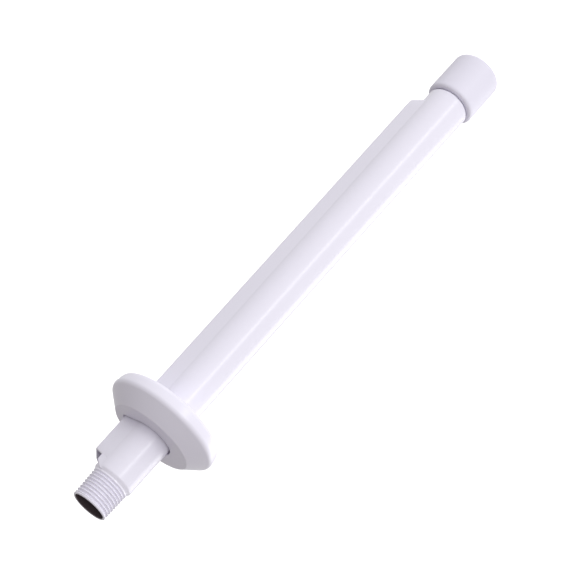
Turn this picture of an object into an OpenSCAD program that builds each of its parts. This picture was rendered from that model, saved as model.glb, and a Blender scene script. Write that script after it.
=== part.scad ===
// Straight moulded arm for an electric shower: a water tube with a taper thread
// at the wall end, a hollow wire duct along one side, a two-piece escutcheon that
// slides on the tube, and a threaded coupling sleeve with its seal washer.
// The arm runs along +Y from the wall, with the wire duct on its underside.

/* [Tube] */
// Length of the arm moulding, from the mouth of the wall thread to the spigot's end
arm_length = 335; // [240:1:420]
// Radius of the water bore
bore_r = 8.9; // [7:0.1:9.1]
// Outer radius of the tube where it leaves the wall thread
tube_r = 11.5; // [11.3:0.1:13]
// Draft of the moulding on each side, in degrees
draft = 0.29; // [0.1:0.01:0.4]
// Width of the chamfer inside the bore's mouth
mouth_chamfer = 0.4; // [0.2:0.1:0.6]

/* [Wall thread] */
// Length of the male thread that screws into the wall fitting
wall_thread_length = 16.8; // [14:0.1:20]
// Crest radius of a half-inch pipe thread
thread_r = 10.45; // [10.3:0.05:10.6]
// Pitch of a half-inch pipe thread, 14 turns to the inch
thread_pitch = 1.814; // [1.5:0.001:2.2]
// Depth of the thread's grooves
thread_depth = 0.9; // [0.5:0.05:1]

/* [Wire duct] */
// Height of the duct's outer face above the tube
duct_height = 5.4; // [4.5:0.1:8]
// Half width of the duct's outer face between its sharp corners
duct_half_width = 4.8; // [4.5:0.1:7]
// Lean of the duct's side walls towards its middle, in degrees
duct_lean = 24.5; // [10:0.5:28]
// Thickness of the duct's walls
duct_wall = 1.1; // [0.8:0.1:1.4]
// How far the duct's flat floor is cut into the tube
floor_depth = 0.8; // [0:0.1:1]
// Radius of the duct's outer corners
duct_corner_r = 2; // [1.6:0.1:3]
// Where the duct's outer face starts, from the mouth of the wall thread
duct_start = 24.5; // [22:0.5:30]
// Length of the duct's flat floor ahead of its mouth
mouth_floor = 4; // [3:0.1:5]
// Length of bare tube between the duct's root and the sleeve
bare_tube = 12; // [8:0.5:16]
// Lean of the duct's far end, in degrees
far_bevel = 12; // [0:1:45]
// Lean of the duct's mouth across its width, in degrees
mouth_slant = 12; // [0:1:15]
// Lean of the duct's mouth back from its floor, in degrees
mouth_lean = 20; // [0:1:25]

/* [Escutcheon] */
// Largest radius of the escutcheon, at its sharp edge
rose_r = 33.1; // [31:0.1:38]
// Outer radius of the flat back face
rose_back_r = 23.9; // [23:0.1:26]
// Where the back face lies, from the mouth of the wall thread
rose_place = 47.7; // [44:0.1:70]
// Height of the back cone, from the back face to the sharp edge
rose_cone = 8.4; // [7:0.1:12]
// Height of the cover, from the sharp edge to the crown of the dome
rose_cover = 8.8; // [8:0.1:12]
// Wall thickness of both escutcheon pieces
rose_wall = 2.2; // [1.8:0.1:2.6]
// Radius of the dome's curve
dome_r = 16; // [13:1:20]
// Lean of the dome where it meets the shoulder, in degrees
dome_lean = 20; // [16:1:30]
// Radius of the shoulder between the dome and the side
shoulder_r = 3.5; // [3:0.1:5]
// How far the shoulder stands in from the sharp edge
shoulder_inset = 0.8; // [0.6:0.1:1.5]
// Lean of the side below the shoulder, in degrees
side_lean = 10; // [6:1:16]
// Clearance of the cover's hole round the tube and duct
cover_clearance = 0.45; // [0.35:0.05:0.8]
// Clearance of the back ring's hole round the tube and duct
ring_clearance = 0.9; // [0.6:0.1:1.6]

/* [Coupling sleeve] */
// Length of the sleeve
sleeve_length = 31; // [26:0.1:38]
// Wall thickness of the sleeve's skirt
sleeve_wall = 2.7; // [2.6:0.05:3.5]
// Radius of the rounded edge at the sleeve's outer end
sleeve_edge_r = 3; // [1:0.1:3.6]
// Radius of the rounded rim at the mouth of the sleeve's skirt
rim_r = 2.4; // [0.4:0.1:2.5]
// Radius of the arm's spigot, whose half-inch thread is parallel
spigot_r = 10.2; // [10:0.05:10.3]
// Length of the arm's threaded spigot inside the sleeve
spigot_length = 12; // [10:0.5:14]
// Depth of the neck between the tube and the spigot, below the tube's surface
neck_depth = 1; // [0.6:0.1:1.1]
// Length of the neck, with the bevel that leads down to it
neck_length = 4.8; // [4.8:0.1:6]
// Length of neck that the sleeve's skirt covers
skirt_cover = 3.6; // [2:0.1:3.6]
// Clearance between the skirt and the neck
skirt_clearance = 0.4; // [0.3:0.05:0.8]
// Running clearance between the spigot and the sleeve
thread_clearance = 0.05; // [0.02:0.01:0.1]
// Thickness of the stop rib inside the sleeve
rib_thickness = 1.6; // [1:0.1:2.5]
// Radius of the waterway through the stop rib and the washer
washer_hole_r = 7.4; // [6:0.1:8]
// Thickness of the seal washer
washer_thickness = 2; // [1.5:0.1:2.6]
// Clearance on each side of the seal washer
washer_clearance = 0.05; // [0.03:0.01:0.1]

/* [Hidden] */
$fn = 96;
CUT = 1;            // how far a cutting shape runs past the face it cuts
ARC_STEPS = 6;      // straight steps in each rounded corner of an outline
FIRST_GROOVE = 0.75; // place of the first thread groove, in pitches from the mouth
GROOVE_SHARE = 0.4; // half width of a groove at the crest, as a share of the pitch
PLASTIC = "#eceaf2";
RUBBER = "#2e2d2f";

slope = tan(draft);
spigot_start = arm_length - spigot_length;
neck_start = spigot_start - neck_length;
tube_length = neck_start - wall_thread_length;
sleeve_start = spigot_start - skirt_cover;
duct_end = sleeve_start - bare_tube;
duct_reach = tube_r + duct_height;
duct_floor = tube_r - floor_depth;
floor_start = duct_start - mouth_floor;
neck_edge_r = tube_r + slope * tube_length;
neck_r = neck_edge_r - neck_depth;
skirt_r = neck_r + skirt_clearance;
sleeve_r = skirt_r + sleeve_wall;
washer_start = arm_length + washer_clearance;
rib_start = washer_start + washer_thickness + washer_clearance;
sleeve_bore_r = spigot_r + thread_clearance;
washer_r = spigot_r - thread_depth - 2 * washer_clearance;
rose_edge = rose_place + rose_cone;
rose_top = rose_edge + rose_cover;
shoulder_reach = rose_r - shoulder_inset - shoulder_r;
dome_level_r = shoulder_reach - (dome_r - shoulder_r) * sin(dome_lean);

// Outer radius of the tube at a distance from the thread's mouth
function tube_r_at(z) = tube_r + slope * (z - wall_thread_length);

// How much larger the duct's outline is at a distance than at the end of the thread, where
// its outer face keeps the same height above the tube
function growth_at(z) = (tube_r_at(z) + duct_height) / duct_reach;

// Points of an arc about a centre
function arc(centre, r, from, to, steps) =
    [for (i = [0 : steps])
        let (angle = from + (to - from) * i / steps)
        centre + r * [cos(angle), sin(angle)]];

// Right half of the duct's outline, moved outwards by grow, from the root to the middle
function duct_half(grow, corner_r, root) =
    let (top = duct_reach + grow,
         corner_x = duct_half_width + grow * (1 - sin(duct_lean)) / cos(duct_lean),
         centre = [corner_x - corner_r / tan((90 + duct_lean) / 2), top - corner_r])
    concat([[corner_x + (top - root) * tan(duct_lean), root]],
           arc(centre, corner_r, duct_lean, 90, ARC_STEPS));

// The other half, in the opposite order
function mirrored(points) = [for (i = [len(points) - 1 : -1 : 0]) [-points[i][0], points[i][1]]];

// The arm is drawn upright with its thread's mouth at the bottom, then laid along +Y
module laid() {
    rotate([-90, 0, 0])
        translate([0, 0, -wall_thread_length / 2])
            children();
}

// Outline of the duct, in the plane across the arm
module duct_outline(grow, corner_r, root) {
    half = duct_half(grow, corner_r, root);
    polygon(concat(half, mirrored(half)));
}

// A length of duct that grows with the tube's draft
module drafted_duct(from, to, grow, corner_r, root) {
    translate([0, 0, from])
        linear_extrude(height = to - from, scale = growth_at(to) / growth_at(from))
            scale(growth_at(from))
                duct_outline(grow, corner_r, root);
}

// Everything on the mouth's side of the slanted start of the duct, down to the tube
module mouth_cut() {
    intersection() {
        translate([0, duct_reach, duct_start])
            rotate([mouth_lean, mouth_slant, 0])
                translate([-rose_r, -duct_reach, -rose_r])
                    cube([2 * rose_r, 2 * duct_reach, rose_r]);
        difference() {
            cylinder(r = rose_r, h = duct_start + tube_r);
            translate([0, 0, -CUT])
                cylinder(r1 = tube_r_at(-CUT), r2 = tube_r_at(duct_start + tube_r + CUT),
                         h = duct_start + tube_r + 2 * CUT);
        }
    }
}

// Everything past the bevelled far end of the duct, down to the tube
module far_cut() {
    difference() {
        translate([0, tube_r_at(duct_end), duct_end])
            rotate([-far_bevel, 0, 0])
                translate([-rose_r, -rose_r, 0])
                    cube([2 * rose_r, 3 * rose_r, rose_r]);
        translate([0, 0, duct_end - tube_length / 2])
            cylinder(r1 = tube_r_at(duct_end - tube_length / 2), r2 = tube_r_at(duct_end + rose_r * 2),
                     h = tube_length / 2 + rose_r * 2);
    }
}

// The duct's base ahead of its mouth, which slopes up from the wall thread to the floor
module mouth_base() {
    intersection() {
        drafted_duct(wall_thread_length, duct_start + mouth_floor, 0, duct_corner_r, tube_r / 2);
        rotate([90, 0, 90])
            linear_extrude(height = 2 * rose_r, center = true)
                polygon([[tube_r / 2, wall_thread_length],
                         [duct_floor, floor_start],
                         [duct_floor, duct_start + mouth_floor],
                         [tube_r / 2, duct_start + mouth_floor]]);
    }
}

// Annular grooves with flat crests, one for each turn of thread
module thread_grooves(from, length) {
    turns = floor((length - thread_pitch / 2) / thread_pitch);
    half = thread_pitch * GROOVE_SHARE * (1 + CUT / thread_depth);
    for (i = [0 : turns - 1])
        translate([0, 0, from + thread_pitch * (i + FIRST_GROOVE)])
            rotate_extrude()
                polygon([[thread_r - thread_depth, 0],
                         [thread_r + CUT, -half],
                         [thread_r + CUT, half]]);
}

module arm_tube() {
    color(PLASTIC)
        laid()
            difference() {
                union() {
                    difference() {
                        drafted_duct(duct_start - tube_r / 2, duct_end + tube_r / 2, 0,
                                     duct_corner_r, tube_r / 2);
                        mouth_cut();
                        far_cut();
                    }
                    mouth_base();
                    translate([0, 0, wall_thread_length])
                        cylinder(r1 = tube_r, r2 = neck_edge_r, h = tube_length);
                    translate([0, 0, neck_start])
                        cylinder(r1 = neck_edge_r, r2 = neck_r, h = neck_depth);
                    translate([0, 0, neck_start])
                        cylinder(r = neck_r, h = neck_length);
                    cylinder(r = thread_r, h = wall_thread_length + CUT);
                    translate([0, 0, spigot_start - CUT])
                        cylinder(r = spigot_r, h = spigot_length + CUT);
                }
                drafted_duct(floor_start, duct_end + CUT, -duct_wall,
                             duct_corner_r - duct_wall, duct_floor);
                thread_grooves(0, wall_thread_length);
                translate([0, 0, -CUT])
                    cylinder(r = bore_r, h = arm_length + 2 * CUT);
                translate([0, 0, -CUT])
                    cylinder(r1 = bore_r + mouth_chamfer + CUT, r2 = bore_r, h = mouth_chamfer + CUT);
            }
}

// The hole that lets tube and duct through a piece of the escutcheon
module keyed_hole(from, to, clearance) {
    translate([0, 0, from - CUT]) {
        cylinder(r = tube_r_at(to) + clearance, h = to - from + 2 * CUT);
        linear_extrude(height = to - from + 2 * CUT)
            scale(growth_at(to))
                duct_outline(clearance, duct_corner_r + clearance, 0);
    }
}

// Half section of the cover between its crown and its side, set in by inset
function cover_curve(inset) =
    let (dome = arc([dome_level_r, rose_top - dome_r], dome_r - inset,
                    90, 90 - dome_lean, 2 * ARC_STEPS),
         centre = [shoulder_reach, rose_top - dome_r + (dome_r - shoulder_r) * cos(dome_lean)],
         shoulder = arc(centre, shoulder_r - inset, 90 - dome_lean, side_lean, 2 * ARC_STEPS))
    concat(dome, [for (i = [1 : 2 * ARC_STEPS]) shoulder[i]]);

module escutcheon_cover() {
    outer = cover_curve(0);
    inner = cover_curve(rose_wall);
    color(PLASTIC)
        laid()
            difference() {
                rotate_extrude()
                    polygon(concat([[0, rose_top]], outer,
                                   [[rose_r, rose_edge], [rose_r - rose_wall, rose_edge]],
                                   [for (i = [len(inner) - 1 : -1 : 0]) inner[i]],
                                   [[0, rose_top - rose_wall]]));
                keyed_hole(rose_top - 2 * rose_wall, rose_top, cover_clearance);
            }
}

module escutcheon_ring() {
    seat_r = rose_r - rose_wall - cover_clearance;
    color(PLASTIC)
        laid()
            difference() {
                rotate_extrude()
                    polygon([[0, rose_place],
                             [rose_back_r, rose_place],
                             [rose_r, rose_edge],
                             [seat_r, rose_edge],
                             [seat_r - rose_wall / 2, rose_edge + rose_wall],
                             [seat_r - rose_wall, rose_edge + rose_wall],
                             [seat_r - rose_wall, rose_edge],
                             [rose_back_r - rose_wall / 2, rose_place + rose_wall],
                             [0, rose_place + rose_wall]]);
                keyed_hole(rose_place, rose_place + rose_wall, ring_clearance);
            }
}

module coupling_sleeve() {
    skirt_depth = skirt_cover + skirt_clearance;
    sleeve_end = sleeve_start + sleeve_length;
    rim = [sleeve_r - rim_r, sleeve_start + rim_r];
    edge = [sleeve_r - sleeve_edge_r, sleeve_end - sleeve_edge_r];
    color(PLASTIC)
        laid()
            difference() {
                rotate_extrude()
                    polygon(concat([[0, sleeve_start]],
                                   arc(rim, rim_r, -90, 0, ARC_STEPS),
                                   arc(edge, sleeve_edge_r, 0, 90, ARC_STEPS),
                                   [[0, sleeve_end]]));
                translate([0, 0, sleeve_start - CUT])
                    cylinder(r = skirt_r, h = skirt_depth + CUT);
                translate([0, 0, sleeve_start])
                    cylinder(r = sleeve_bore_r, h = rib_start - sleeve_start);
                translate([0, 0, rib_start - CUT])
                    cylinder(r = washer_hole_r, h = rib_thickness + 2 * CUT);
                translate([0, 0, rib_start + rib_thickness])
                    cylinder(r = sleeve_bore_r, h = sleeve_length);
            }
}

module seal_washer() {
    color(RUBBER)
        laid()
            translate([0, 0, washer_start])
                difference() {
                    cylinder(r = washer_r, h = washer_thickness);
                    translate([0, 0, -CUT])
                        cylinder(r = washer_hole_r, h = washer_thickness + 2 * CUT);
                }
}

arm_tube();
escutcheon_cover();
escutcheon_ring();
coupling_sleeve();
seal_washer();
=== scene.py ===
"""Looks of a straight shower arm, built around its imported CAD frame.

The arm runs along +Y from the wall thread, with its wire duct on the underside. Each
piece is a surface worked out with numpy, in the frame's own place and size.
"""

import math

import bmesh
import bpy
import numpy as np
from mathutils import Matrix, Vector


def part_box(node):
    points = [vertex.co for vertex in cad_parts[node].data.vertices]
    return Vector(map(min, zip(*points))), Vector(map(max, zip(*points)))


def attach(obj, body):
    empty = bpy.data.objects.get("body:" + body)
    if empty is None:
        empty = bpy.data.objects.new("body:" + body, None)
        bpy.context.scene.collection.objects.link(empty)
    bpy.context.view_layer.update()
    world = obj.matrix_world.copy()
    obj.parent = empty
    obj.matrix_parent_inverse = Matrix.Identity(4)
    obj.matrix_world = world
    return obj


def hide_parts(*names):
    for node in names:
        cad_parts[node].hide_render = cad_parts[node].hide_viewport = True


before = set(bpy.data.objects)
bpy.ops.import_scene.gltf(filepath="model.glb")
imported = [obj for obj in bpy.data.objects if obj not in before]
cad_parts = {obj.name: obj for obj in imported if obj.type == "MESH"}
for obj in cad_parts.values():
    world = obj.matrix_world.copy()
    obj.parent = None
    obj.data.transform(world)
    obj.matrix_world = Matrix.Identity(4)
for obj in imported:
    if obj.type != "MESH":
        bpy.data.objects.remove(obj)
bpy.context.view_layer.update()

MM = 0.001
TAU = 2 * math.pi

# Places along the arm, in millimetres from the thread's mouth, as in the CAD part.
MOUTH_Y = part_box("arm_tube")[0].y / MM
THREAD_END = -2 * MOUTH_Y
ARM_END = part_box("arm_tube")[1].y / MM - MOUTH_Y
ROSE_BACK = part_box("escutcheon_ring")[0].y / MM - MOUTH_Y
ROSE_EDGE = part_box("escutcheon_cover")[0].y / MM - MOUTH_Y
ROSE_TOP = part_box("escutcheon_cover")[1].y / MM - MOUTH_Y
SLEEVE_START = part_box("coupling_sleeve")[0].y / MM - MOUTH_Y
SLEEVE_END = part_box("coupling_sleeve")[1].y / MM - MOUTH_Y
WASHER_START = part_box("seal_washer")[0].y / MM - MOUTH_Y
WASHER_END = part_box("seal_washer")[1].y / MM - MOUTH_Y

# Sizes in millimetres. Angles are in radians unless a line says otherwise, and the draft and
# the mouth's two slopes are tangents.
BORE_R = 8.9
TUBE_R = 11.5
DRAFT = math.tan(math.radians(0.29))
THREAD_R = 10.45
THREAD_PITCH = 1.814
THREAD_DEPTH = 0.9
FEMALE_DEPTH = 0.55          # depth of the sleeve's threads
FINE_STEP = THREAD_PITCH / 14    # between rows of points on a thread in view
COARSE_STEP = THREAD_PITCH / 8   # and on a hidden one
RUN_OUT = 1.4                # length of the cone from the thread up to the tube
RUN_OUT_STEP = 0.3           # height of the cone's foot above the thread
TAPER = 1 / 32               # growth of a taper thread's radius along its length
SPIGOT_R = 10.2
SPIGOT_LENGTH = 12
SPIGOT_START = ARM_END - SPIGOT_LENGTH
NECK_DEPTH = 1.0
NECK_LENGTH = 4.8
NECK_START = SPIGOT_START - NECK_LENGTH
NECK_R = TUBE_R + DRAFT * (NECK_START - THREAD_END) - NECK_DEPTH
TUBE_EDGE = 1.4              # radius of the tube's edge above the neck
NECK_EDGE = 0.4              # radius of the neck's edge above the spigot
DUCT_HEIGHT = 5.4
DUCT_REACH = TUBE_R + DUCT_HEIGHT
DUCT_HALF_WIDTH = 4.8
DUCT_LEAN = math.radians(24.5)
DUCT_CORNER = 2.0
DUCT_WALL = 1.1
DUCT_FLOOR = TUBE_R - 0.8    # distance from the axis to the duct's flat floor
DUCT_SEAT_R = BORE_R + 1.2   # radius of the duct's underside, buried in the tube's wall
FLOOR_TURN = math.radians(30)    # the floor reaches no further round than this
DUCT_START = 24.5
MOUTH_FLOOR = 4
FLOOR_START = DUCT_START - MOUTH_FLOOR
BARE_TUBE = 12
DUCT_END = SLEEVE_START - BARE_TUBE
MOUTH_SLANT = math.tan(math.radians(12))
MOUTH_LEAN = math.tan(math.radians(20))
FAR_BEVEL = math.radians(12)
FAR_ROUND = 2.6              # radius between the duct's outer face and its far end
DUCT_RIM = 0.45              # rounding of the rim at each end of the duct
ROSE_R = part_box("escutcheon_cover")[1].x / MM
ROSE_BACK_R = 23.9
ROSE_WALL = 2.2
ROSE_LIP = 0.5               # radius of the edges at the cover's hole and round the flat back
RIM_ROUND = 3.4              # radius of the escutcheon's widest edge
DOME_R = 16
DOME_LEAN = math.radians(20)
SHOULDER_R = 3.5
SHOULDER_INSET = 0.8
SHOULDER_REACH = ROSE_R - SHOULDER_INSET - SHOULDER_R
SIDE_LEAN = 10               # in degrees
COVER_CLEARANCE = 0.45
RING_CLEARANCE = 0.9
SLEEVE_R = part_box("coupling_sleeve")[1].x / MM
SLEEVE_EDGE = 3.0
SLEEVE_RIM = 2.4
SKIRT_CLEARANCE = 0.4
SKIRT_COVER = 3.6
SKIRT_LIP = 0.2              # radius of the skirt's inner edge
RUNNING_GAP = 0.05           # between sleeve and spigot, and between rib and washer
SLEEVE_BORE_R = SPIGOT_R + RUNNING_GAP
RIB_START = WASHER_END + RUNNING_GAP
RIB_LENGTH = 1.6
RIB_END = RIB_START + RIB_LENGTH
WASHER_HOLE_R = 7.4
BEVEL = 0.3                  # small bevel on the edges of bores, holes, ribs and lips

# Points round each piece.
TUBE_TURNS = 232
ROSE_TURNS = 240
SLEEVE_TURNS = 168
WASHER_TURNS = 96

LEAST_COSINE = 0.1           # keeps a flat's radius finite where it turns edge on
SHARP = math.radians(40)     # faces that turn by more than this meet in an edge


# ---------------------------------------------------------------- shapes

def laid(radius, along, turns):
    """A grid of places in the frame, in metres, from radius and place along at each angle. The
    angle is measured from the duct, which points to -Z, towards +X."""
    angle = angles(turns)
    radius, along, angle = np.broadcast_arrays(radius, along, angle)
    across, outward = radius * np.sin(angle), radius * np.cos(angle)
    return np.stack([across, along + MOUTH_Y, -outward], axis=-1) * MM


def angles(turns):
    """Evenly spaced angles round the arm, as a column."""
    return np.linspace(0, TAU, turns, endpoint=False)[:, None]


def from_duct(angle):
    """How far an angle is from the middle of the duct, on either side."""
    return np.abs((angle + math.pi) % TAU - math.pi)


def grid_piece(name, grids, body, material, node):
    """One mesh from closed grids of points, in place of a CAD node. A grid wraps both ways, like
    a ring, so a quad joins point (i, j) to (i + 1, j), (i + 1, j + 1) and (i, j + 1)."""
    corners, faces, first = [], [], 0
    for grid in grids:
        number = np.arange(grid.shape[0] * grid.shape[1]).reshape(grid.shape[:2]) + first
        beside = np.roll(number, -1, axis=0)
        quads = [number, beside, np.roll(beside, -1, axis=1), np.roll(number, -1, axis=1)]
        corners.append(grid.reshape(-1, 3))
        faces.append(np.stack(quads, axis=-1).reshape(-1, 4))
        first += number.size
    mesh = bpy.data.meshes.new(name)
    mesh.from_pydata(np.concatenate(corners).tolist(), [], np.concatenate(faces).tolist())
    made = bmesh.new()
    made.from_mesh(mesh)
    bmesh.ops.remove_doubles(made, verts=made.verts, dist=1e-7)
    bmesh.ops.recalc_face_normals(made, faces=made.faces)
    made.to_mesh(mesh)
    made.free()
    mesh.shade_smooth()
    mesh.set_sharp_from_angle(angle=SHARP)
    mesh.materials.append(material)
    piece = bpy.data.objects.new(name, mesh)
    bpy.context.scene.collection.objects.link(piece)
    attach(piece, body)
    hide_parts(node)


def arc(centre, radius, start, stop, steps):
    """Points (radius from the axis, along) of an arc, angles in degrees from outwards to +Y."""
    angle = np.radians(np.linspace(start, stop, steps))
    return np.array(centre) + radius * np.stack([np.cos(angle), np.sin(angle)], axis=-1)


def joined(turns, *parts):
    """Radius and along of the stretches of a section, one after another. A stretch is either
    points that are the same at every angle, or a (radius, along) pair of grids."""
    radius, along = [], []
    for part in parts:
        pair = part if isinstance(part, tuple) else np.atleast_2d(part).T
        columns = max(np.shape(pair[0])[-1], np.shape(pair[1])[-1])
        radius.append(np.broadcast_to(pair[0], (turns, columns)))
        along.append(np.broadcast_to(pair[1], (turns, columns)))
    return np.concatenate(radius, axis=1), np.concatenate(along, axis=1)


def tube_radius(along):
    """Outer radius of the tube, which grows evenly with the moulding's draft."""
    return TUBE_R + DRAFT * (along - THREAD_END)


def growth(along):
    """How much larger the duct is than at the end of the wall thread. It grows just enough for
    its outer face to keep the same height above the tube."""
    return (tube_radius(along) + DUCT_REACH - TUBE_R) / DUCT_REACH


def thread_cut(angle, along):
    """Depth of a helical groove, 0 to 1. The phase is along / pitch less the turn's share of a
    circle. The depth is a triangle wave with flat crests and roots, faded in over half a turn
    and out over one."""
    phase = (along / THREAD_PITCH - angle / TAU) % 1
    wave = np.clip(1.3 * (1 - np.abs(2 * phase - 1)) - 0.18, 0, 1)
    fade = np.minimum(2 * (along - along.min()), along.max() - along) / THREAD_PITCH
    return wave * np.clip(fade, 0, 1)


# Distance from the axis to the duct's slanted side face, at the end of the wall thread.
DUCT_SIDE = DUCT_HALF_WIDTH * math.cos(DUCT_LEAN) + DUCT_REACH * math.sin(DUCT_LEAN)


def corner_centre(inset):
    """Centre of the duct's rounded corner, across and outward, with its faces moved in."""
    top, side = DUCT_REACH - inset, DUCT_SIDE - inset
    corner_x = (side - top * math.sin(DUCT_LEAN)) / math.cos(DUCT_LEAN)
    corner_r = DUCT_CORNER - inset
    return corner_x - corner_r / math.tan((math.pi / 2 + DUCT_LEAN) / 2), top - corner_r


def key_radius(angle, clearance, place):
    """Radius from the axis of the outline round tube and duct at each angle, for a place along
    and a clearance: the larger of the tube's circle and the duct's flat, corner or side."""
    turn, scale = from_duct(angle), growth(place)
    centre_x, centre_y = np.array(corner_centre(0)) * scale
    corner_r = DUCT_CORNER * scale + clearance
    top, side = DUCT_REACH * scale + clearance, DUCT_SIDE * scale + clearance
    flat = top / np.maximum(np.cos(turn), LEAST_COSINE)
    slant = side / np.maximum(np.sin(turn + DUCT_LEAN), LEAST_COSINE)
    reach = centre_x * np.sin(turn) + centre_y * np.cos(turn)
    chord = reach ** 2 - centre_x ** 2 - centre_y ** 2 + corner_r ** 2
    corner = reach + np.sqrt(np.maximum(chord, 0))
    flat_end = math.atan2(centre_x, top)
    side_start = math.atan2(centre_x + corner_r * math.cos(DUCT_LEAN),
                            centre_y + corner_r * math.sin(DUCT_LEAN))
    duct = np.where(turn < flat_end, flat, np.where(turn < side_start, corner, slant))
    duct = np.where(turn < math.pi / 2 - DUCT_LEAN, duct, 0)
    return np.maximum(duct, tube_radius(place) + clearance)


def tube_surface(angle, along):
    """Radius of the tube: its drafted circle, with a short cone up from the wall thread, cut flat
    under the duct. Ahead of the mouth it is the duct's base where that stands higher, which
    slopes up from the wall thread to the flat floor."""
    turn = from_duct(angle)
    circle = tube_radius(along)
    run_out = np.clip(1 - (along - THREAD_END) / RUN_OUT, 0, 1)
    circle = circle - (TUBE_R - THREAD_R - RUN_OUT_STEP) * run_out
    floor = DUCT_FLOOR * growth(along) / np.maximum(np.cos(turn), LEAST_COSINE)
    on_floor = (along > FLOOR_START) & (along < DUCT_END + 1) & (turn < FLOOR_TURN)
    circle = np.where(on_floor, np.minimum(circle, floor), circle)
    rise = np.clip((along - THREAD_END) / (FLOOR_START - THREAD_END), 0, 1)
    level = TUBE_R / 2 + (DUCT_FLOOR - TUBE_R / 2) * rise
    side = DUCT_SIDE / np.maximum(np.sin(turn + DUCT_LEAN), LEAST_COSINE)
    base = np.minimum(level / np.maximum(np.cos(turn), LEAST_COSINE), side)
    ahead = (along < DUCT_START + 2) & (turn < math.pi / 2 - DUCT_LEAN)
    return np.where(ahead, np.maximum(circle, base), circle)


def arm_tube(material):
    """Tube, wall thread, spigot and bore as one ring of surface: radius at an angle and a place
    along, out along the outside and back along the bore. The duct is a second ring."""
    angle = angles(TUBE_TURNS)
    thread = np.arange(0.5, THREAD_END - 0.1, FINE_STEP)
    crest = THREAD_R + TAPER * (thread - THREAD_END / 2)
    base = np.linspace(THREAD_END + 0.1, DUCT_START + 2, 22)
    long_run = np.linspace(DUCT_START + 4, DUCT_END - 2, 40)
    far = np.array([DUCT_END + 0.95, DUCT_END + 1.05, DUCT_END + 4, NECK_START - 0.7])
    plain = np.concatenate([base, long_run, far])
    shoulder = tube_radius(NECK_START)
    neck_end = (NECK_R - NECK_EDGE, SPIGOT_START - NECK_EDGE)
    spigot = np.arange(SPIGOT_START + 0.2, ARM_END - 0.4, COARSE_STEP)
    bore_points = 16
    radius, along = joined(
        TUBE_TURNS,
        (crest - THREAD_DEPTH * thread_cut(angle, thread), thread),
        (tube_surface(angle, plain), plain),
        arc((shoulder - TUBE_EDGE, NECK_START - 0.55), TUBE_EDGE, 4, 42, 6),
        [[NECK_R + BEVEL, NECK_START + NECK_DEPTH - BEVEL],
         [NECK_R, NECK_START + NECK_DEPTH + 0.1]],
        arc(neck_end, NECK_EDGE, 0, 90, 5),
        (SPIGOT_R - THREAD_DEPTH * thread_cut(angle, spigot), spigot),
        [[SPIGOT_R - 0.5, ARM_END], [BORE_R + BEVEL, ARM_END], [BORE_R, ARM_END - BEVEL]],
        np.stack([np.full(bore_points, BORE_R), np.linspace(ARM_END - 2, 1.2, bore_points)],
                 axis=-1),
        arc((BORE_R + 0.4, 0.5), 0.4, 180, 250, 4),
        [[BORE_R + 0.5, 0], [THREAD_R - 0.75, 0], [THREAD_R - 0.45, 0.15]])
    tube = laid(radius, along, TUBE_TURNS)
    grid_piece("arm_body", [tube, duct_ring()], "arm", material, "arm_tube")


def duct_outline(inset, steps=12):
    """Closed outline of the duct across the arm: up one side, round the corner, over the flat,
    down the other side and back underneath. It has the same number of points at any inset."""
    turn = np.linspace(DUCT_LEAN, math.pi / 2, steps)
    corner = np.array(corner_centre(inset)) + (DUCT_CORNER - inset) * np.stack(
        [np.cos(turn), np.sin(turn)], axis=-1)
    side = DUCT_SIDE - inset
    foot = side * np.array([math.cos(DUCT_LEAN), math.sin(DUCT_LEAN)])
    if inset:
        foot_x = (side - DUCT_FLOOR * math.sin(DUCT_LEAN)) / math.cos(DUCT_LEAN)
        foot = np.array([foot_x, DUCT_FLOOR])
    half = np.concatenate([np.linspace(foot, corner[0], steps)[:-1], corner])
    other = half[::-1] * [-1, 1]
    flat = np.linspace(half[-1], other[0], steps)[1:-1]
    under = np.linspace(other[-1], half[0], steps)[1:-1]
    if not inset:
        foot_turn = math.atan2(foot[0], foot[1])
        sweep = np.linspace(-foot_turn, foot_turn, steps)[1:-1]
        under = DUCT_SEAT_R * np.stack([np.sin(sweep), np.cos(sweep)], axis=-1)
    return np.concatenate([half, flat, other, under])


def duct_start(points):
    """Where each point of the duct's outline starts: on the plane of the mouth, which slants
    across the duct and leans from its outer face back to its floor."""
    return DUCT_START - points[:, 0] * MOUTH_SLANT - (DUCT_REACH - points[:, 1]) * MOUTH_LEAN


def duct_stop(points):
    """Where each point of the duct's outline ends: on the bevel that leans back from the root,
    or, near the outer face, on the arc that rounds the face into the bevel."""
    tip = DUCT_END - (DUCT_REACH * growth(DUCT_END) - tube_radius(DUCT_END)) * math.tan(FAR_BEVEL)
    drop = (DUCT_REACH - points[:, 1]) * growth(DUCT_END)
    bevel = tip + drop * math.tan(FAR_BEVEL)
    arc_start = tip - FAR_ROUND * math.tan((math.pi / 2 - FAR_BEVEL) / 2)
    rounded = arc_start + np.sqrt(np.maximum(FAR_ROUND ** 2 - (FAR_ROUND - drop) ** 2, 0))
    return np.where(drop < FAR_ROUND * (1 - math.sin(FAR_BEVEL)), rounded, bevel)


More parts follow.
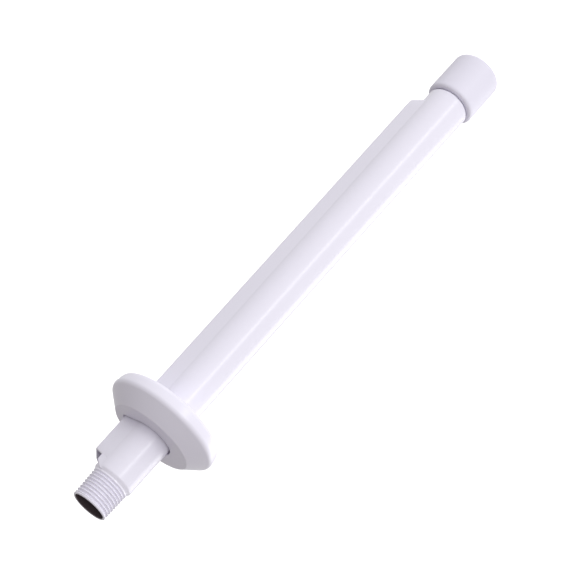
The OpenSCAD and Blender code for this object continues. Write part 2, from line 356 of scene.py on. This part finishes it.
def duct_ring():
    """The hollow duct: its outline carried from the slanted mouth to the bevelled far end, over a
    rounded rim, and back along the inside. It grows a little along the arm."""
    outer, inner = duct_outline(0), duct_outline(DUCT_WALL)
    places, rim_turns = 60, np.linspace(0, math.pi, 9)[1:-1]
    rows = []

    def row(points, share, tuck):
        """One row of places at a share of the way along, moved on by a tuck."""
        start, stop = duct_start(points), duct_stop(points)
        place = start + (stop - start) * share + tuck
        scale = growth(place)
        across, outward = points[:, 0] * scale, points[:, 1] * scale
        rows.append(np.stack([across, place + MOUTH_Y, -outward], axis=-1))

    def rim(first, second, share, outwards):
        """Rows over the rounded rim at one end, from the first outline to the second."""
        for turn in rim_turns:
            points = first + (second - first) * (1 - math.cos(turn)) / 2
            row(points, share, outwards * DUCT_RIM * (math.sin(turn) - 1))

    for share in np.linspace(0, 1, places):
        row(outer, share, DUCT_RIM * (1 - 2 * share))
    rim(outer, inner, 1, 1)
    for share in np.linspace(1, 0, places):
        row(inner, share, DUCT_RIM * (1 - 2 * share))
    rim(inner, outer, 0, -1)
    return np.stack(rows, axis=1) * MM


def rose_curves(inset):
    """Half section of the cover, moved inwards: the place along at a radius on the dome, and the
    arc of the shoulder from the dome down to the side."""
    rise = DOME_R - SHOULDER_R
    level_r = SHOULDER_REACH - rise * math.sin(DOME_LEAN)
    centre = (SHOULDER_REACH, ROSE_TOP - DOME_R + rise * math.cos(DOME_LEAN))

    def dome(radius):
        """Place along of the dome's surface at a radius."""
        beyond = np.maximum(radius - level_r, 0)
        return ROSE_TOP - DOME_R + np.sqrt((DOME_R - inset) ** 2 - beyond ** 2)

    return dome, arc(centre, SHOULDER_R - inset, 90 - math.degrees(DOME_LEAN), SIDE_LEAN, 16)


def rose_rim(side_end):
    """The rounded widest edge, as two arcs that meet where cover and ring part: the cover's from
    its side, whose end is given, and the ring's on to its cone."""
    cone = math.atan2(ROSE_R - ROSE_BACK_R, ROSE_EDGE - ROSE_BACK)
    side = math.atan2(ROSE_R - side_end[0], side_end[1] - ROSE_EDGE)
    middle, half = (side - cone) / 2, (side + cone) / 2
    reach = RIM_ROUND / math.cos(half)
    centre = (ROSE_R - reach * math.cos(middle), ROSE_EDGE - reach * math.sin(middle))
    parting = math.degrees(math.asin((ROSE_EDGE - centre[1]) / RIM_ROUND))
    return (arc(centre, RIM_ROUND, math.degrees(side), parting, 8),
            arc(centre, RIM_ROUND, parting, -math.degrees(cone), 8))


def escutcheon_cover(material):
    """The domed front shell, from the keyed hole over the dome, shoulder and side to the widest
    edge, and back inside at the wall's thickness."""
    hole = key_radius(angles(ROSE_TURNS), COVER_CLEARANCE, ROSE_TOP)
    dome, shoulder = rose_curves(0)
    inner_dome, inner_shoulder = rose_curves(ROSE_WALL)
    turn = np.linspace(0, math.pi / 2, 5)
    lip_r = hole + ROSE_LIP * (1 - np.cos(turn))
    share = np.linspace(0, 1, 24)[1:]
    outer_r = hole + ROSE_LIP + (shoulder[0, 0] - hole - ROSE_LIP) * share
    inner_r = hole + (inner_shoulder[0, 0] - hole) * share[::-2]
    edge = rose_rim(shoulder[-1])[0]
    seat = ROSE_R - ROSE_WALL
    radius, along = joined(
        ROSE_TURNS,
        (lip_r, dome(hole + ROSE_LIP) - ROSE_LIP + ROSE_LIP * np.sin(turn)),
        (outer_r, dome(outer_r)),
        shoulder[1:],
        edge,
        [[edge[-1, 0] - 0.1, ROSE_EDGE], [seat, ROSE_EDGE], [seat, ROSE_EDGE + BEVEL]],
        inner_shoulder[::-1],
        (inner_r[:, 1:], inner_dome(inner_r[:, 1:])))
    grid = laid(radius, along, ROSE_TURNS)
    grid_piece("escutcheon_dome", [grid], "escutcheon", material,
               "escutcheon_cover")


def escutcheon_ring(material):
    """The conical back ring, from its keyed hole over the flat back and the cone to the joint
    with the cover, and back inside over the locating lip."""
    hole = key_radius(angles(ROSE_TURNS), RING_CLEARANCE, ROSE_BACK)
    seat = ROSE_R - ROSE_WALL - COVER_CLEARANCE
    back = arc((ROSE_BACK_R - ROSE_LIP, ROSE_BACK + ROSE_LIP), ROSE_LIP, -90, -46, 5)
    edge = rose_rim(rose_curves(0)[1][-1])[1]
    inside = ROSE_BACK + ROSE_WALL
    steps = 12
    share = np.linspace(0, 1, steps)
    flat_r = hole + BEVEL + (back[0, 0] - hole - BEVEL) * share
    inner_r = hole + (ROSE_BACK_R - ROSE_WALL / 2 - hole) * share[::-1]
    radius, along = joined(
        ROSE_TURNS,
        (hole + 0.1, np.array([ROSE_BACK + 0.1])),
        (flat_r, np.full(steps, ROSE_BACK)),
        back[1:],
        edge[::-1],
        [[seat, ROSE_EDGE], [seat - ROSE_WALL / 2, ROSE_EDGE + ROSE_WALL],
         [seat - ROSE_WALL, ROSE_EDGE + ROSE_WALL], [seat - ROSE_WALL, ROSE_EDGE]],
        (inner_r, np.full(steps, inside)),
        (hole, np.array([inside - BEVEL])),
        (hole, np.array([ROSE_BACK + BEVEL])))
    grid = laid(radius, along, ROSE_TURNS)
    grid_piece("escutcheon_back", [grid], "escutcheon", material,
               "escutcheon_ring")


def coupling_sleeve(material):
    """The sleeve: rounded outside, a skirt over the neck and a helical female thread on each side
    of the stop rib, all as one ring of surface."""
    angle = angles(SLEEVE_TURNS)
    bore = SLEEVE_BORE_R
    skirt_end = SLEEVE_START + SKIRT_COVER + SKIRT_CLEARANCE
    skirt_r = NECK_R + SKIRT_CLEARANCE
    outer_thread = np.arange(SLEEVE_END - 1.2, RIB_END + 0.4, -FINE_STEP)
    inner_thread = np.arange(RIB_START - 0.6, skirt_end + 0.8, -COARSE_STEP)
    steps = 12
    long_side = np.linspace(SLEEVE_START + SLEEVE_RIM + 1, SLEEVE_END - SLEEVE_EDGE - 1, steps)
    radius, along = joined(
        SLEEVE_TURNS,
        arc((skirt_r + SKIRT_LIP, SLEEVE_START + SKIRT_LIP), SKIRT_LIP, 180, 270, 4),
        arc((SLEEVE_R - SLEEVE_RIM, SLEEVE_START + SLEEVE_RIM), SLEEVE_RIM, -90, 0, 9),
        np.stack([np.full(steps, SLEEVE_R), long_side], axis=-1),
        arc((SLEEVE_R - SLEEVE_EDGE, SLEEVE_END - SLEEVE_EDGE), SLEEVE_EDGE, 0, 90, 10),
        [[bore + 1.1, SLEEVE_END], [bore + 0.9, SLEEVE_END - 0.1], [bore, SLEEVE_END - 1]],
        (bore + FEMALE_DEPTH * thread_cut(angle, outer_thread), outer_thread),
        [[bore, RIB_END + 0.1], [bore - 0.1, RIB_END], [WASHER_HOLE_R + BEVEL, RIB_END],
         [WASHER_HOLE_R, RIB_END - BEVEL], [WASHER_HOLE_R, RIB_START + BEVEL],
         [WASHER_HOLE_R + BEVEL, RIB_START], [bore - 0.1, RIB_START], [bore, RIB_START - 0.1]],
        (bore + FEMALE_DEPTH * thread_cut(angle, inner_thread), inner_thread),
        [[bore, skirt_end + BEVEL], [bore + BEVEL, skirt_end],
         [skirt_r - BEVEL, skirt_end], [skirt_r, skirt_end - BEVEL]])
    grid = laid(radius, along, SLEEVE_TURNS)
    grid_piece("sleeve_body", [grid], "sleeve", material, "coupling_sleeve")


def seal_washer(material):
    """A flat rubber ring with rounded corners."""
    corner = BEVEL
    outer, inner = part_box("seal_washer")[1].x / MM - corner, WASHER_HOLE_R + corner
    low, high = WASHER_START + corner, WASHER_END - corner
    radius, along = joined(
        WASHER_TURNS,
        arc((outer, low), corner, -90, 0, 5), arc((outer, high), corner, 0, 90, 5),
        arc((inner, high), corner, 90, 180, 5), arc((inner, low), corner, 180, 270, 5))
    grid = laid(radius, along, WASHER_TURNS)
    grid_piece("washer_ring", [grid], "washer", material, "seal_washer")


# ---------------------------------------------------------------- materials

def linear(code):
    """An sRGB hex colour as linear RGBA."""
    parts = [int(code[i:i + 2], 16) / 255 for i in (1, 3, 5)]
    return [c / 12.92 if c <= 0.04045 else ((c + 0.055) / 1.055) ** 2.4 for c in parts] + [1]


def add(tree, kind, links=(), inputs=(), **settings):
    """Adds a node with its properties and inputs set, and makes its links, each written (from
    socket, input name)."""
    node = tree.nodes.new(kind)
    for name, value in settings.items():
        setattr(node, name, value)
    for name, value in dict(inputs).items():
        node.inputs[name].default_value = value
    for source, target in links:
        tree.links.new(source, node.inputs[target])
    return node


def shader_of(name):
    """A new material, with its tree, its shader and the object's own coordinates."""
    material = bpy.data.materials.new(name)
    material.use_nodes = True
    tree = material.node_tree
    place = add(tree, "ShaderNodeTexCoord").outputs["Object"]
    return material, tree, tree.nodes["Principled BSDF"], place


def noise(tree, place, size, detail):
    """Noise with waves of about the size given in mm."""
    return add(tree, "ShaderNodeTexNoise", [(place, "Vector")],
               {"Scale": 1 / (size * MM), "Detail": detail}).outputs["Fac"]


def mixed(tree, factor, first, second):
    """A colour between two, by a factor socket."""
    mix = add(tree, "ShaderNodeMix", [(factor, "Factor")], data_type="RGBA")
    for socket, value in ((mix.inputs["A"], first), (mix.inputs["B"], second)):
        if isinstance(value, str):
            socket.default_value = linear(value)
        else:
            tree.links.new(value, socket)
    return mix.outputs["Result"]


def between(tree, value, low, high, to_low, to_high):
    """Carries a value from one range to another, held at its ends."""
    ranges = {"From Min": low, "From Max": high, "To Min": to_low, "To Max": to_high}
    return add(tree, "ShaderNodeMapRange", [(value, "Value")], ranges).outputs["Result"]


def moulded_plastic(name, colour, shade, roughness, peel_depth, painted_bore_shade=None):
    """Injection-moulded plastic: a slight change of shade along the flow, a faintly uneven gloss
    and an orange-peel waviness, whose depth is in mm. A bore colour, if given, is painted shade:
    the bore's wall is coloured dark to stand in for the deep shade inside it."""
    material, tree, shader, place = shader_of(name)
    tint = mixed(tree, noise(tree, place, 35, 2), colour, shade)
    # Painted shade: faces at the bore's radius get a dark colour in place of the shade that falls
    # deep in the bore.
    if painted_bore_shade:
        split = add(tree, "ShaderNodeSeparateXYZ", [(place, "Vector")])
        across = add(tree, "ShaderNodeCombineXYZ",
                     [(split.outputs["X"], "X"), (split.outputs["Z"], "Z")])
        reach = add(tree, "ShaderNodeVectorMath", [(across.outputs["Vector"], "Vector")],
                    operation="LENGTH")
        inside = between(tree, reach.outputs["Value"], (BORE_R + 0.1) * MM, (BORE_R + 0.3) * MM, 1, 0)
        tint = mixed(tree, inside, tint, painted_bore_shade)
    tree.links.new(tint, shader.inputs["Base Color"])
    gloss = between(tree, noise(tree, place, 7, 3), 0, 1, roughness * 0.9, roughness * 1.1)
    tree.links.new(gloss, shader.inputs["Roughness"])
    bump = add(tree, "ShaderNodeBump", [(noise(tree, place, 2.4, 1), "Height")],
               {"Strength": 0.25, "Distance": peel_depth * MM})
    tree.links.new(bump.outputs["Normal"], shader.inputs["Normal"])
    shader.inputs["IOR"].default_value = 1.53
    return material


def moulded_rubber(name, colour):
    """Moulded nitrile rubber: dull, with a fine grain."""
    material, tree, shader, place = shader_of(name)
    bump = add(tree, "ShaderNodeBump", [(noise(tree, place, 0.6, 2), "Height")],
               {"Strength": 0.3, "Distance": 0.05 * MM})
    tree.links.new(bump.outputs["Normal"], shader.inputs["Normal"])
    shader.inputs["Base Color"].default_value = linear(colour)
    shader.inputs["Roughness"].default_value = 0.7
    return material


# The dark bore colour on the arm is painted shade for the inside of its bore, not a colour of the
# plastic.
gloss_abs = moulded_plastic("moulded_white_abs", "#e6e3f0", "#e4e1ee", roughness=0.26,
                            peel_depth=0.02, painted_bore_shade="#564b50")
rose_abs = moulded_plastic("moulded_white_abs_trim", "#e6e3f0", "#e4e1ee", roughness=0.3,
                           peel_depth=0.02)
satin_pp = moulded_plastic("satin_moulded_polypropylene", "#e0ddeb", "#dedbe9", roughness=0.5,
                           peel_depth=0.03)
rubber = moulded_rubber("moulded_nitrile_rubber", "#2c2b2d")

arm_tube(gloss_abs)
escutcheon_cover(rose_abs)
escutcheon_ring(rose_abs)
coupling_sleeve(satin_pp)
seal_washer(rubber)


# ---------------------------------------------------------------- camera, light and floor

# Directions about the arm: along it, towards the camera, and across to the lighter side.
ALONG = Vector((0, 1, 0))
DUCT_TURN = math.radians(113)
TOWARDS = Vector((-math.sin(DUCT_TURN), 0, -math.cos(DUCT_TURN)))
ACROSS = Vector((-math.cos(DUCT_TURN), 0, math.sin(DUCT_TURN)))

MIDDLE = ALONG * 0.17                # about half way along the arm, which the lights aim at
TILT = math.radians(24.6)            # how far the far end leans away from the camera
ROLL = math.radians(48.24)           # rise of the arm in the picture
DISTANCE = 0.721                     # from the camera to the thread's mouth, along the view
FOCAL = 2.5                          # focal length as a share of the picture's width
SHIFT_ALONG = 0.204                  # where the thread's mouth lies in view, as slopes
SHIFT_ACROSS = 0.004
SENSOR = 36


def add_camera():
    """The camera, placed from the thread's mouth by the arm's tilt, its rise in the picture and
    the distance."""
    mouth = ALONG * MOUTH_Y * MM
    level = math.cos(TILT) * ALONG + math.sin(TILT) * TOWARDS
    forward = math.sin(TILT) * ALONG - math.cos(TILT) * TOWARDS
    right = math.cos(ROLL) * level + math.sin(ROLL) * ACROSS
    up = math.sin(ROLL) * level - math.cos(ROLL) * ACROSS
    data = bpy.data.cameras.new("camera")
    data.sensor_width = SENSOR
    data.lens = SENSOR * FOCAL
    data.clip_start = 0.01
    camera = bpy.data.objects.new("camera", data)
    place = mouth + DISTANCE * (SHIFT_ALONG * level + SHIFT_ACROSS * ACROSS - forward)
    turn = Matrix((right, up, -forward)).transposed()
    camera.matrix_world = Matrix.Translation(place) @ turn.to_4x4()
    bpy.context.scene.collection.objects.link(camera)
    bpy.context.scene.camera = camera


def add_light(name, turn, rise, distance, width, length, power, mirrored):
    """A soft rectangular light, its long side along the arm, aimed at the arm's middle. It stands
    at a turn in degrees about the arm, from the camera's side towards the lighter side, and
    rises towards the far end by a slope. Only a mirrored one shows in reflections."""
    turn = math.radians(turn)
    direction = (math.cos(turn) * TOWARDS + math.sin(turn) * ACROSS + rise * ALONG).normalized()
    across = ALONG.cross(direction).normalized()
    data = bpy.data.lights.new(name, "AREA")
    data.shape = "RECTANGLE"
    data.size = width
    data.size_y = length
    data.energy = power
    light = bpy.data.objects.new(name, data)
    facing = Matrix((across, direction.cross(across), direction)).transposed()
    light.matrix_world = Matrix.Translation(MIDDLE + direction * distance) @ facing.to_4x4()
    light.visible_glossy = mirrored
    bpy.context.scene.collection.objects.link(light)


def add_floor():
    """A wide pale floor, well below the arm, which its wall fitting holds up."""
    half, depth = 20.0, -0.6
    mesh = bpy.data.meshes.new("floor")
    mesh.from_pydata([(-half, -half, depth), (half, -half, depth), (half, half, depth),
                      (-half, half, depth)], [], [(0, 1, 2, 3)])
    material = bpy.data.materials.new("matt_white_paint")
    material.use_nodes = True
    shader = material.node_tree.nodes["Principled BSDF"]
    shader.inputs["Base Color"].default_value = linear("#f4f4f4")
    shader.inputs["Roughness"].default_value = 0.9
    shader.inputs["Emission Color"].default_value = (1, 1, 1, 1)
    shader.inputs["Emission Strength"].default_value = 0.6
    mesh.materials.append(material)
    floor = bpy.data.objects.new("floor", mesh)
    floor.visible_diffuse = False
    floor.visible_glossy = False
    bpy.context.scene.collection.objects.link(floor)


def add_world(level, slope):
    """A white surround, seen as plain white. As light it is warmer and darker towards the wall
    and brighter towards the far end, by a slope."""
    world = bpy.data.worlds.new("studio")
    world.use_nodes = True
    tree = world.node_tree
    direction = add(tree, "ShaderNodeTexCoord").outputs["Generated"]
    along = add(tree, "ShaderNodeSeparateXYZ", [(direction, "Vector")]).outputs["Y"]
    power = between(tree, along, -1, 1, level - slope, level + slope)
    tint = mixed(tree, between(tree, along, -1, 0, 0, 1), "#fff8f4", "#ffffff")
    seen = add(tree, "ShaderNodeLightPath").outputs["Is Camera Ray"]
    plain = add(tree, "ShaderNodeBackground", inputs={"Color": linear("#ffffff")})
    light = add(tree, "ShaderNodeBackground", [(tint, "Color"), (power, "Strength")])
    both = add(tree, "ShaderNodeMixShader", [
        (seen, 0), (light.outputs["Background"], 1), (plain.outputs["Background"], 2)])
    tree.links.new(both.outputs["Shader"], tree.nodes["World Output"].inputs["Surface"])
    bpy.context.scene.world = world


add_camera()
add_floor()
add_world(level=0.72, slope=0.455)
add_light("fill_softbox", turn=0, rise=0, distance=1.5, width=1.2, length=1.2, power=4.85,
          mirrored=False)
add_light("rim_softbox", turn=118, rise=0.2, distance=1.2, width=0.8, length=1.2, power=5.6,
          mirrored=True)
add_light("strip_light", turn=18, rise=0.3, distance=0.9, width=0.1, length=0.9, power=1.9,
          mirrored=True)
bpy.context.scene.view_settings.view_transform = "Standard"
